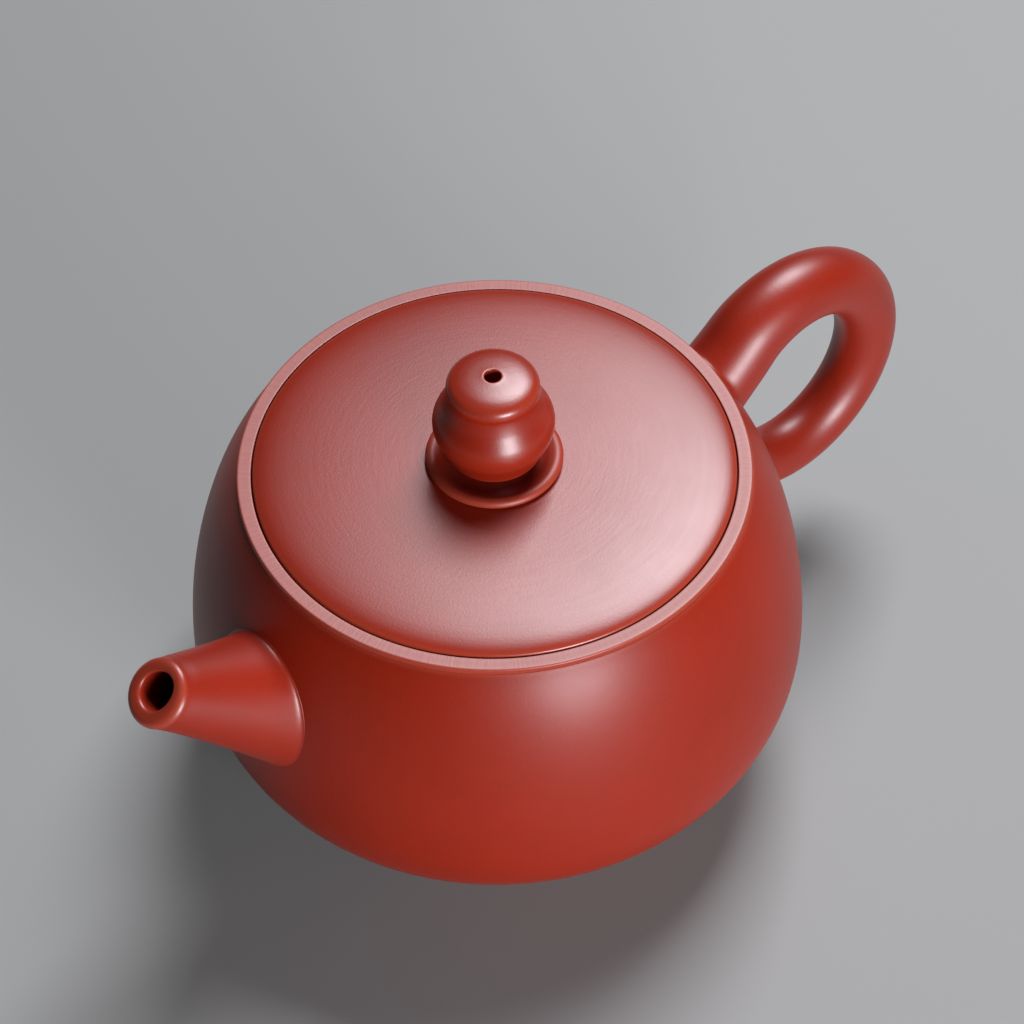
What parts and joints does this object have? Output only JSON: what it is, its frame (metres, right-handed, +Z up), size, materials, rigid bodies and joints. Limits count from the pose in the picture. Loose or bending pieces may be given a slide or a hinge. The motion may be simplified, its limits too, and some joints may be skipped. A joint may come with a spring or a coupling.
{
  "type": "round-bellied clay teapot with inset lid",
  "caption": "Round-bellied unglazed red clay teapot with a short straight spout, a ring handle and an inset lid lifted by a turned knob.",
  "frame": {"origin": "on the table, under the middle of the whole pot's outline from spout tip to handle; the pot's own axis stands 7.50 mm towards the spout from it", "axes": "+X from spout to handle, +Z up along the pot's axis, table at z = 0"},
  "size_m": [0.1402, 0.09, 0.0748],
  "materials": {
    "pot_clay": "unglazed red stoneware clay, burnished to a satin sheen",
    "rim_clay": "unglazed red stoneware clay, trimmed flat, slightly duller than the belly",
    "lid_clay": "unglazed red stoneware clay, turned and burnished, with faint tool marks"
  },
  "bodies": {
    "pot": {"body_wall": "pot_clay", "base_disc": "pot_clay", "foot_ring": "pot_clay", "seat_ring": "pot_clay", "mouth_ring": "rim_clay", "spout": "pot_clay", "strainer": "pot_clay", "handle": "pot_clay"},
    "lid": {"lid_plate": "lid_clay", "lid_flange": "lid_clay", "knob_dish": "lid_clay", "knob": "lid_clay"}
  },
  "joints": [
    {"name": "lid_lift", "type": "slide", "parent": "pot", "child": "lid", "axis": [0, 0, 1], "range_m": [0, 0.06]}
  ]
}
